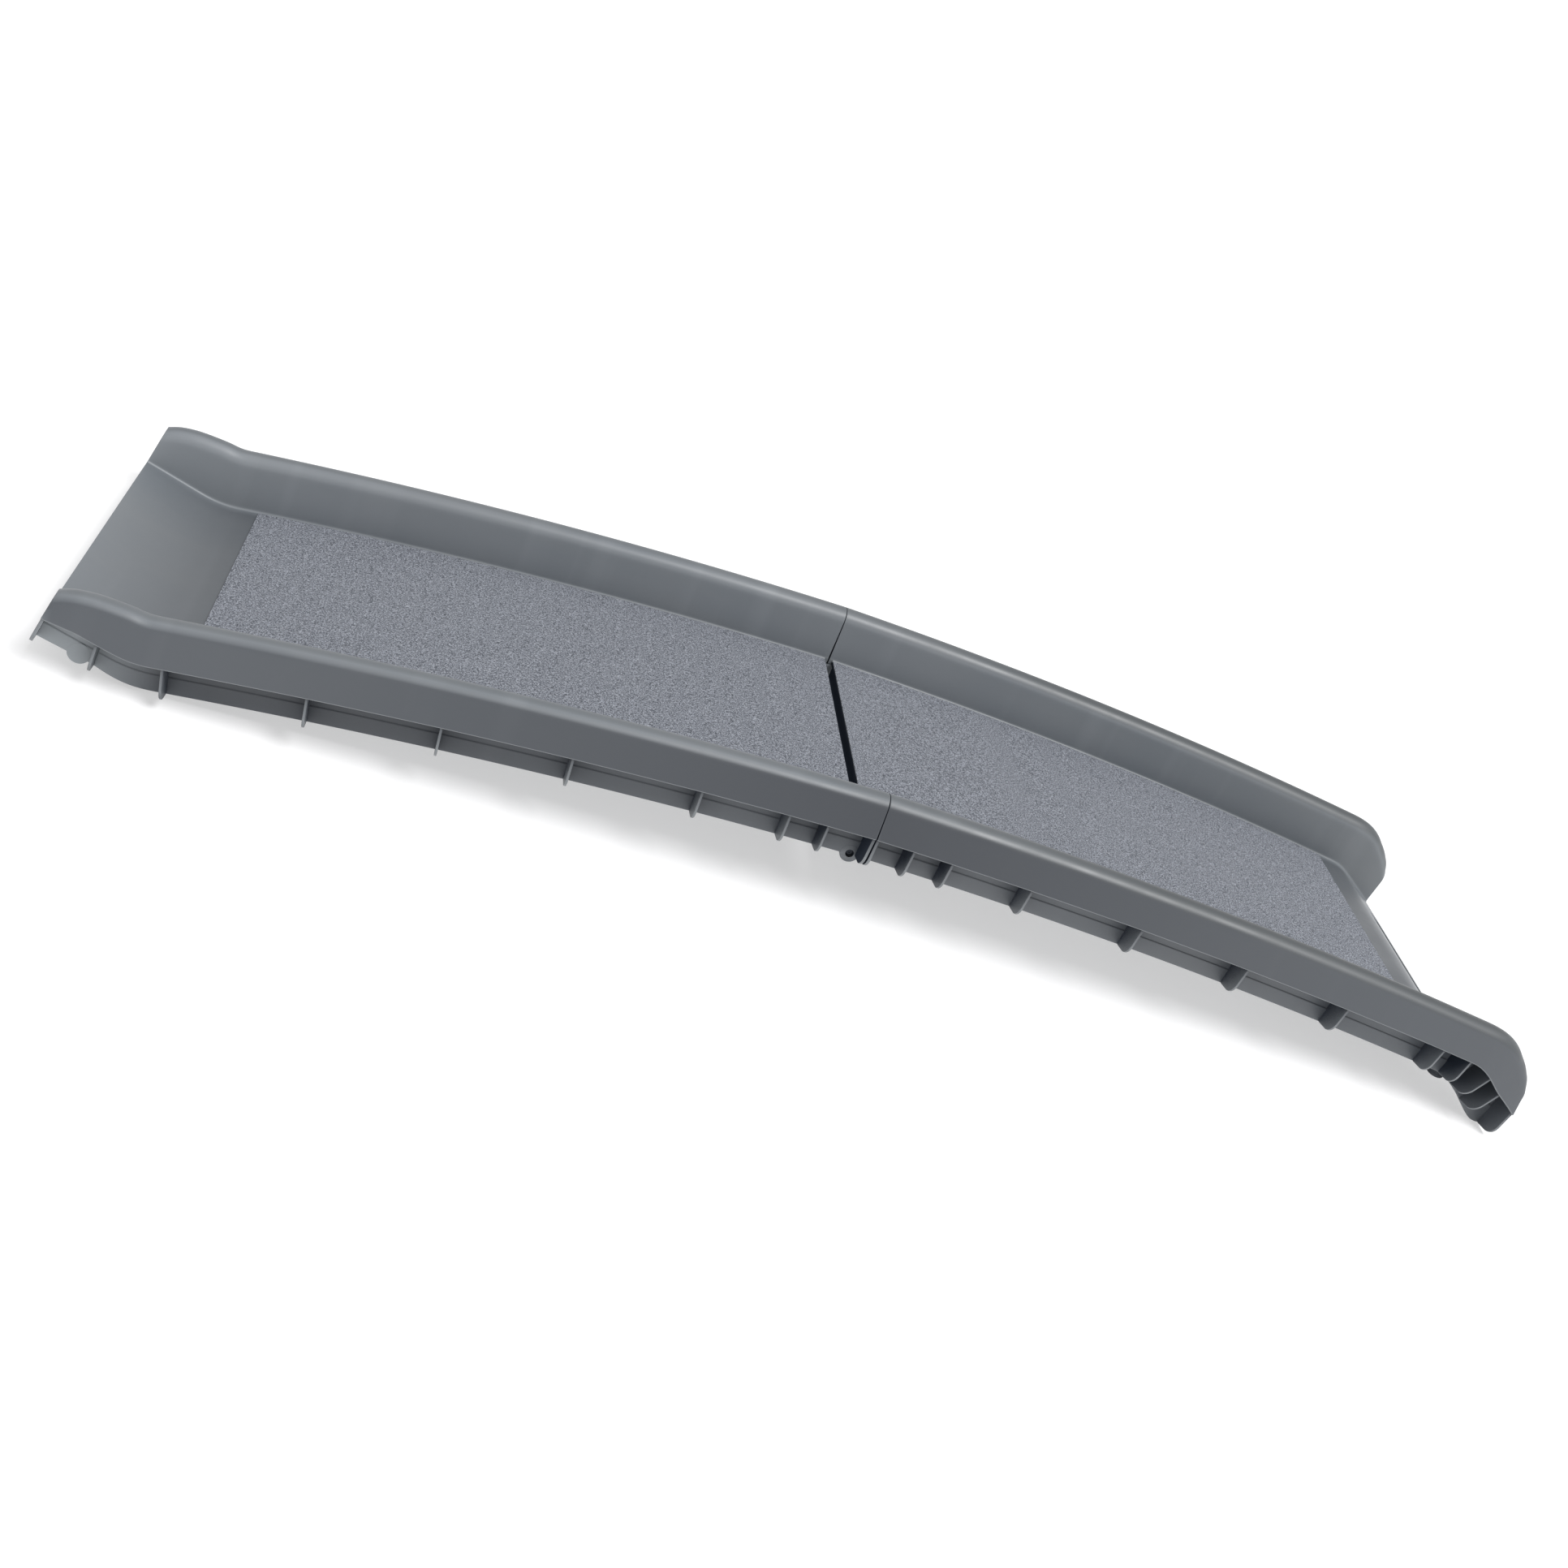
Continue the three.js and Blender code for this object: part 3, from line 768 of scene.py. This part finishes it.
def build_screw(end, label):
    """A pan-head screw with a cross recess, and a coarse thread up its shaft."""
    at = foot_middle(end, label)
    place = above_foot(at)
    low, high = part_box(f"{end}_foot_screw_{label}")
    head_low = (low.z - at.z) / MM
    top = (high.z - at.z) / MM
    head_high = head_low + 2.4
    profile = [(0.6, head_low), (1.6, head_low + 0.1), (2.6, head_low + 0.5), (3.3, head_low + 1.2)]
    profile += [(3.5, head_low + 1.8), (3.5, head_high), (1.5, head_high)]
    turns = np.arange(head_high + 0.4, top - 2, 0.5)
    for i, height in enumerate(turns):
        profile.append((1.5 if i % 2 == 0 else 1.85, height))
    profile += [(1.2, top - 1.4), (0.2, top)]
    shape = turned_solid(profile, 40, place)
    screw = make_object(f"{end}_foot_screw_{label}_cut", shape, in_deck_frame=False)
    half_long, half_wide = 1.9, 0.42
    for angle in (0, math.pi / 2):
        cosine, sine = math.cos(angle), math.sin(angle)
        corners = []
        for x_sign, y_sign in ((-1, -1), (1, -1), (1, 1), (-1, 1)):
            a, b = x_sign * half_long, y_sign * half_wide
            corners.append((a * cosine - b * sine, a * sine + b * cosine))
        rings = []
        for size, height in ((1.1, head_low - 0.5), (0.55, head_low + 1.3)):
            rings.append(np.array([place(a * size, b * size, height) for a, b in corners]))
        tool = make_object("tool", Shape().loft(rings, np.array(corners)), in_deck_frame=False)
        combine(screw, tool, "DIFFERENCE")
    return screw


# ---------------------------------------------------------------------------
# Materials.
# ---------------------------------------------------------------------------


class Nodes:
    """A material's node tree, with short calls to grow it."""

    def __init__(self, name):
        self.material = bpy.data.materials.new(name)
        self.material.use_nodes = True
        self.tree = self.material.node_tree
        self.shader = self.tree.nodes["Principled BSDF"]
        coordinates = self.tree.nodes.new("ShaderNodeTexCoord")
        self.place = coordinates.outputs["Object"]
        self.facing = coordinates.outputs["Normal"]

    def new(self, kind, **inputs):
        node = self.tree.nodes.new(kind)
        for name, value in inputs.items():
            self.plug(node.inputs[name.replace("_", " ")], value)
        return node

    def plug(self, socket, value):
        if isinstance(value, bpy.types.NodeSocket):
            self.tree.links.new(value, socket)
        else:
            socket.default_value = value

    def noise(self, scale, detail=2.0, roughness=0.5, stretch=None):
        vector = self.place
        if stretch is not None:
            mapping = self.new("ShaderNodeMapping", Vector=self.place, Scale=stretch)
            vector = mapping.outputs["Vector"]
        settings = {"Scale": scale, "Detail": detail, "Roughness": roughness}
        return self.new("ShaderNodeTexNoise", Vector=vector, **settings).outputs["Fac"]

    def ramp(self, value, low, high):
        node = self.new("ShaderNodeMapRange", Value=value)
        node.clamp = True
        self.plug(node.inputs["From Min"], low)
        self.plug(node.inputs["From Max"], high)
        return node.outputs["Result"]

    def span(self, value, low, high, out_low, out_high):
        node = self.new("ShaderNodeMapRange", Value=value)
        node.clamp = True
        self.plug(node.inputs["From Min"], low)
        self.plug(node.inputs["From Max"], high)
        self.plug(node.inputs["To Min"], out_low)
        self.plug(node.inputs["To Max"], out_high)
        return node.outputs["Result"]

    def mix(self, factor, a, b):
        node = self.tree.nodes.new("ShaderNodeMix")
        node.data_type = "RGBA"
        self.plug(node.inputs[0], factor)
        self.plug(node.inputs[6], a)
        self.plug(node.inputs[7], b)
        return node.outputs[2]

    def tint(self, colour, mask, strength, tone):
        """The colour, drawn towards a tone as far as the mask times the strength."""
        return self.mix(self.maths("MULTIPLY", mask, strength), colour, tone)

    def unless(self, mask):
        """One where a mask is zero, zero where it is one."""
        return self.span(mask, 0.0, 1.0, 1.0, 0.0)

    def maths(self, operation, a, b):
        node = self.tree.nodes.new("ShaderNodeMath")
        node.operation = operation
        self.plug(node.inputs[0], a)
        self.plug(node.inputs[1], b)
        return node.outputs[0]

    def bump(self, height, distance, strength=1.0, normal=None):
        node = self.new("ShaderNodeBump", Height=height, Distance=distance, Strength=strength)
        if normal is not None:
            self.plug(node.inputs["Normal"], normal)
        return node.outputs["Normal"]

    # Sharp edges, by pointiness: edge wear on some materials, and painted edge highlights on the plastic.
    def edge_wear_and_highlight(self, low, high):
        geometry = self.tree.nodes.new("ShaderNodeNewGeometry")
        return self.ramp(geometry.outputs["Pointiness"], low, high)

    def outside(self, low, high):
        """One outside the given distance from the middle of the walkway, zero inside it."""
        return self.ramp(self.maths("ABSOLUTE", self.part(self.place, "Y"), 0.0), low, high)

    def outward(self, low, high):
        """One on faces that look away from the walkway, zero on those that look into it."""
        side = self.maths("SIGN", self.part(self.place, "Y"), 0.0)
        return self.ramp(self.maths("MULTIPLY", self.part(self.facing, "Y"), side), low, high)

    def level(self, low, high):
        """One on faces that point up, zero on faces that stand upright or point down."""
        return self.ramp(self.part(self.facing, "Z"), low, high)

    def part(self, vector, axis):
        return self.new("ShaderNodeSeparateXYZ", Vector=vector).outputs[axis]

    def recess(self, distance):
        node = self.new("ShaderNodeAmbientOcclusion", Distance=distance)
        node.samples = 6
        return node.outputs["AO"]

    def surface(self, **inputs):
        for name, value in inputs.items():
            self.plug(self.shader.inputs[name.replace("_", " ")], value)
        return self.material


def grey(red, green, blue):
    """A linear colour from 0 to 255 display values."""
    return tuple((v / 255) ** 2.2 for v in (red, green, blue)) + (1.0,)


# Where the painted light and shade on the plastic change, in metres along the ramp and out from its
# middle.
LIP_SLOPE = (-0.74, -0.62)
HOOK_BEND = (0.68, 0.72)
RAIL_EDGE = (0.2035, 0.2045)
GAP_WALLS = (0.01, 0.014)
# A darker tone for painted shade, and a paler tone for the faint streaks and for painted light.
PAINTED_SHADE_TONE = grey(78, 81, 82)
PALE_TONE = grey(136, 140, 144)


def moulded_colour(n):
    """The plastic's own grey, with broad patches, flow marks and faint streaks."""
    broad = n.noise(3.5, 3, 0.55)
    flow = n.noise(6, 4, 0.6, stretch=(0.7, 3.0, 3.0))
    streaks = n.noise(1.0, 2, 0.5, stretch=(26, 0.8, 0.8))
    colour = n.mix(n.ramp(broad, 0.35, 0.68), grey(103, 108, 113), grey(109, 113, 117))
    colour = n.tint(colour, n.ramp(flow, 0.45, 0.75), 0.35, grey(115, 118, 120))
    return n.tint(colour, n.ramp(streaks, 0.55, 0.72), 0.16, PALE_TONE)


def painted_light_and_shade_on_outer_sides(n, colour, along):
    """Painted shade on the darker walls and skirts; painted light on the paler wall under the lip, and a
    painted highlight on the pale rim under the skirt.
    """
    skirt = n.outside(0.2105, 0.2125)
    outer_side = n.maths("MULTIPLY", n.outward(-0.05, 0.15), n.unless(n.level(0.48, 0.85)))
    outer_side = n.maths("MULTIPLY", outer_side, n.outside(0.2045, 0.2062))
    wall_tone = n.span(along, -0.45, 0.05, 0.8, 0.3)
    wall_tone = n.maths("MULTIPLY", wall_tone, n.span(along, *LIP_SLOPE, 0.1, 1.0))
    skirt_tone = n.span(n.maths("ABSOLUTE", along, 0.0), 0.0, 0.62, 1.0, 0.74)
    outer_tone = n.span(skirt, 0.0, 1.0, wall_tone, skirt_tone)
    # Painted shade: the outer walls and skirts drawn darker, the skirts most at the ramp's middle, the
    # walls most on the lower half.
    colour = n.tint(colour, outer_side, outer_tone, grey(56, 59, 64))
    # Painted light on the outer wall under the lip.
    lip_wall = n.maths("MULTIPLY", outer_side, n.unless(skirt))
    colour = n.tint(colour, lip_wall, n.span(along, -0.74, -0.66, 0.8, 0.0), grey(160, 166, 170))
    # Painted highlight along the skirt's down-facing rim.
    rim = n.maths("MULTIPLY", skirt, n.span(n.part(n.facing, "Z"), -0.1, 0.12, 1.0, 0.0))
    return n.tint(colour, rim, 0.6, grey(134, 138, 141))


def painted_light_and_shade_on_rails_and_lip(n, colour, along):
    """Painted shade on the rail tops and shoulders and on the lip deck, and on inner walls that darken
    towards the hook; painted light on inner walls near the lip.
    """
    # Painted shade on the rail tops, stronger towards the hook.
    top = n.maths("MULTIPLY", n.outside(*RAIL_EDGE), n.level(0.84, 0.96))
    colour = n.tint(colour, top, n.span(along, 0.2, 0.7, 0.3, 0.6), PAINTED_SHADE_TONE)
    # Painted shade on the lip deck, darker towards the mat.
    lip_shade = n.maths("MULTIPLY", n.ramp(along, -0.77, -0.64), n.level(0.8, 0.95))
    colour = n.tint(colour, lip_shade, n.span(n.outside(0.19, 0.2), 0.0, 1.0, 0.72, 0.0), grey(72, 75, 79))
    # Painted shade on the rails' shoulders, stronger towards the hook.
    shoulder = n.maths("MULTIPLY", n.outside(*RAIL_EDGE), n.level(0.3, 0.6))
    colour = n.tint(colour, shoulder, n.span(along, -0.1, 0.3, 0.0, 0.75), grey(64, 67, 69))
    # Painted shade on the inner walls towards the hook, and painted light on them near the lip.
    inner_side = n.maths("MULTIPLY", n.unless(n.outward(-0.6, -0.3)), n.outside(0.19, 0.2))
    colour = n.tint(colour, inner_side, n.span(along, 0.1, 0.6, 0.0, 0.25), PAINTED_SHADE_TONE)
    return n.tint(colour, inner_side, n.span(along, -0.7, -0.5, 0.3, 0.0), PALE_TONE)


def painted_recess_shade(n, along, open_air, end_face):
    """Painted shade from how deep in a recess a point lies, stronger on end faces and weaker at lip and
    hook.
    """
    hidden = n.maths("MAXIMUM", n.outside(0.205, 0.212), end_face)
    depth = n.maths("MULTIPLY", n.span(open_air, 0.3, 0.88, 1.0, 0.0), n.span(hidden, 0.0, 1.0, 0.4, 0.9))
    depth = n.maths("MULTIPLY", depth, n.span(end_face, 0.0, 1.0, 1.0, 2.0))
    depth = n.maths("MULTIPLY", depth, n.span(along, *LIP_SLOPE, 0.35, 1.0))
    return n.maths("MULTIPLY", depth, n.span(along, *HOOK_BEND, 1.0, 0.35))


def panel_plastic():
    n = Nodes("moulded_plastic")
    # How open each point is to its surroundings, from ambient occlusion; it drives the painted recess
    # shade below.
    open_air = n.recess(0.045)
    along = n.part(n.place, "X")
    colour = moulded_colour(n)
    colour = painted_light_and_shade_on_outer_sides(n, colour, along)
    colour = painted_light_and_shade_on_rails_and_lip(n, colour, along)
    worn = n.maths("MULTIPLY", n.edge_wear_and_highlight(0.53, 0.62), n.ramp(n.noise(40, 3), 0.4, 0.65))
    worn = n.maths("MULTIPLY", worn, n.ramp(open_air, 0.5, 0.9))
    colour = n.tint(colour, worn, 0.4, grey(150, 154, 158))
    end_face = n.ramp(n.maths("ABSOLUTE", n.part(n.facing, "X"), 0.0), 0.7, 0.9)
    depth = painted_recess_shade(n, along, open_air, end_face)
    # Painted shade in recesses, deepest on end faces and under the skirts.
    colour = n.mix(depth, colour, grey(44, 49, 58))
    # Painted highlight along sharp edges, faded in recesses.
    colour = n.tint(colour, n.edge_wear_and_highlight(0.55, 0.66), n.span(depth, 0.0, 0.8, 0.55, 0.03), grey(146, 149, 152))
    # Painted shade on the end faces on either side of the hinge gap.
    gap_near = n.span(n.maths("ABSOLUTE", along, 0.0), *GAP_WALLS, 0.9, 0.0)
    between = n.maths("MULTIPLY", end_face, gap_near)
    colour = n.mix(between, colour, grey(50, 55, 64))
    shine = n.span(depth, 0.0, 1.0, 0.5, 0.12)
    shine = n.maths("MULTIPLY", shine, n.span(between, 0.0, 0.9, 1.0, 0.0))
    roughness = n.span(n.noise(14, 5, 0.6), 0.3, 0.7, 0.37, 0.48)
    grain = n.bump(n.noise(1500, 2, 0.6), 0.00004, 0.35)
    ripple = n.bump(n.noise(9, 2, 0.4), 0.0006, 0.12, grain)
    return n.surface(Base_Color=colour, Roughness=roughness, Normal=ripple, Specular_IOR_Level=shine)


def grit_mat():
    n = Nodes("grit")
    grains = n.new("ShaderNodeTexVoronoi", Vector=n.place, Scale=760.0, Randomness=1.0)
    fine = n.noise(680, 2, 0.7)
    coarse = n.noise(410, 2, 0.6)
    broad = n.noise(5, 3, 0.5)
    colour = n.mix(n.ramp(fine, 0.4, 0.6), grey(58, 61, 68), grey(150, 154, 163))
    colour = n.tint(colour, n.ramp(coarse, 0.52, 0.72), 0.36, grey(190, 193, 199))
    colour = n.tint(colour, n.ramp(grains.outputs["Distance"], 0.35, 0.75), 0.45, grey(60, 64, 71))
    colour = n.tint(colour, n.ramp(broad, 0.3, 0.7), 0.1, grey(122, 126, 132))
    rough = n.span(fine, 0.3, 0.7, 0.78, 0.95)
    height = n.maths("ADD", n.maths("MULTIPLY", grains.outputs["Distance"], -1.0), fine)
    bumps = n.bump(height, 0.0005, 0.55)
    return n.surface(Base_Color=colour, Roughness=rough, Normal=bumps, Specular_IOR_Level=0.4)


def zinc_steel():
    n = Nodes("zinc_steel")
    brushed = n.noise(260, 4, 0.6, stretch=(1, 9, 1))
    colour = n.mix(n.ramp(brushed, 0.3, 0.7), grey(176, 180, 186), grey(206, 208, 212))
    roughness = n.span(n.noise(90, 3), 0.3, 0.7, 0.24, 0.42)
    bumps = n.bump(brushed, 0.00005, 0.3)
    return n.surface(Base_Color=colour, Roughness=roughness, Metallic=1.0, Normal=bumps)


def blackened_steel():
    n = Nodes("blackened_steel")
    patches = n.noise(160, 4, 0.6)
    colour = n.mix(n.ramp(patches, 0.35, 0.65), grey(40, 43, 48), grey(60, 63, 69))
    colour = n.tint(colour, n.edge_wear_and_highlight(0.55, 0.65), 0.5, grey(120, 122, 126))
    roughness = n.span(patches, 0.3, 0.7, 0.38, 0.55)
    bumps = n.bump(patches, 0.00005, 0.3)
    return n.surface(Base_Color=colour, Roughness=roughness, Metallic=0.9, Normal=bumps)


def soft_rubber():
    n = Nodes("soft_rubber")
    bloom = n.noise(120, 4, 0.6)
    colour = n.mix(n.ramp(bloom, 0.35, 0.7), grey(40, 44, 50), grey(56, 60, 66))
    roughness = n.span(n.noise(300, 3), 0.3, 0.7, 0.68, 0.85)
    return n.surface(Base_Color=colour, Roughness=roughness, Normal=n.bump(n.noise(1800, 2), 0.00005, 0.5))


MATERIALS = {
    "panel": panel_plastic(),
    "mat": grit_mat(),
    "steel": zinc_steel(),
    "pin_steel": blackened_steel(),
    "rubber": soft_rubber(),
}


def finish_piece(piece, body, node, slot, angle=32):
    soften(piece, angle)
    piece.data.materials.clear()
    piece.data.materials.append(MATERIALS[slot])
    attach(piece, body)
    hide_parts(node)


# ---------------------------------------------------------------------------
# Assembly.
# ---------------------------------------------------------------------------

finish_piece(build_lower_panel(), "lower", "lower_panel", "panel")
finish_piece(build_upper_panel(), "upper", "upper_panel", "panel")
finish_piece(build_mat("lower_mat_grit", lower_path, LOWER_MAT), "lower", "lower_mat", "mat")
finish_piece(build_mat("upper_mat_grit", upper_path, UPPER_MAT), "upper", "upper_mat", "mat")

for label, side in (("near", -1), ("far", 1)):
    finish_piece(build_pin(label, side), "lower", f"hinge_pin_{label}", "pin_steel")
    node = f"hinge_washer_{label}"
    washer = build_washer(node, 4.45, 0.2, about_pin(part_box(node)[0].y, 1), 1.2)
    finish_piece(washer, "lower", node, "steel")
    finish_piece(build_clip(label), "lower", f"hinge_clip_{label}", "steel")

for end, body in (("lip", "lower"), ("hook", "upper")):
    for label in ("near", "far"):
        finish_piece(build_foot(end, label), body, f"{end}_foot_{label}", "rubber", 40)
        node = f"{end}_foot_washer_{label}"
        base = foot_middle(end, label)
        base.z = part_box(node)[0].z
        finish_piece(build_washer(node, 2.3, 0.15, above_foot(base), 1.2), body, node, "steel")
        finish_piece(build_screw(end, label), body, f"{end}_foot_screw_{label}", "steel")

# ---------------------------------------------------------------------------
# Floor, light and camera.
# ---------------------------------------------------------------------------


def build_floor():
    """A flat floor that sweeps gently up far behind the ramp, like a studio backdrop."""
    sides = 96
    flat = 5.0
    shape = Shape()
    corners = [(0.0, 0.0, 0.0)]
    faces = []
    radii = [flat * 0.5, flat] + [flat + 1.25 * step for step in range(1, 25)]
    for radius in radii:
        height = 0.01 * max(radius - flat, 0) ** 2
        for side in range(sides):
            angle = 2 * math.pi * side / sides
            corners.append((radius * math.cos(angle), radius * math.sin(angle), height))
    for side in range(sides):
        after = (side + 1) % sides
        faces.append((0, 1 + side, 1 + after))
        for ring in range(len(radii) - 1):
            inner = 1 + ring * sides
            outer = inner + sides
            faces.append((inner + side, outer + side, outer + after, inner + after))
    shape.add(corners, faces)
    floor = make_object("floor", shape, in_deck_frame=False)
    floor.data.polygons.foreach_set("use_smooth", [True] * len(floor.data.polygons))
    floor.location.z = -0.0004
    n = Nodes("pale_floor")
    tone = n.mix(n.ramp(n.noise(2, 2), 0.3, 0.7), grey(186, 186, 187), grey(189, 189, 190))
    white = (1.0, 1.0, 1.0, 1.0)
    glow = {"Emission_Color": white, "Emission_Strength": 0.5}
    n.surface(Base_Color=tone, Roughness=0.9, Specular_IOR_Level=0.1, **glow)
    floor.data.materials.append(n.material)


def add_soft_light(name, towards, spread, strength):
    """A wide, even light that shines from a direction with a soft edge."""
    data = bpy.data.lights.new(name, "SUN")
    data.angle = math.radians(spread)
    data.energy = strength
    lamp = bpy.data.objects.new(name, data)
    bpy.context.scene.collection.objects.link(lamp)
    lamp.rotation_euler = Vector(towards).to_track_quat("Z", "Y").to_euler()


def build_world():
    world = bpy.data.worlds.new("studio")
    bpy.context.scene.world = world
    world.use_nodes = True
    background = world.node_tree.nodes["Background"]
    background.inputs["Color"].default_value = (1.0, 1.0, 1.0, 1.0)
    background.inputs["Strength"].default_value = 0.62


def build_camera():
    right = Vector((0.919936, -0.065131, 0.386619))
    up = Vector((-0.309173, 0.485886, 0.817512))
    data = bpy.data.cameras.new("camera")
    data.sensor_width = 36.0
    data.lens = 43.58
    data.clip_end = 100.0
    camera = bpy.data.objects.new("camera", data)
    bpy.context.scene.collection.objects.link(camera)
    back = right.cross(up)
    turn = Matrix((right, up, back)).transposed().to_4x4()
    camera.matrix_world = Matrix.Translation((-0.52983, -1.76736, 0.88429)) @ turn
    bpy.context.scene.camera = camera


build_floor()
build_world()
build_camera()
add_soft_light("key", (0.34, -0.46, 0.82), 26, 2.9)
bpy.context.scene.view_settings.view_transform = "Standard"
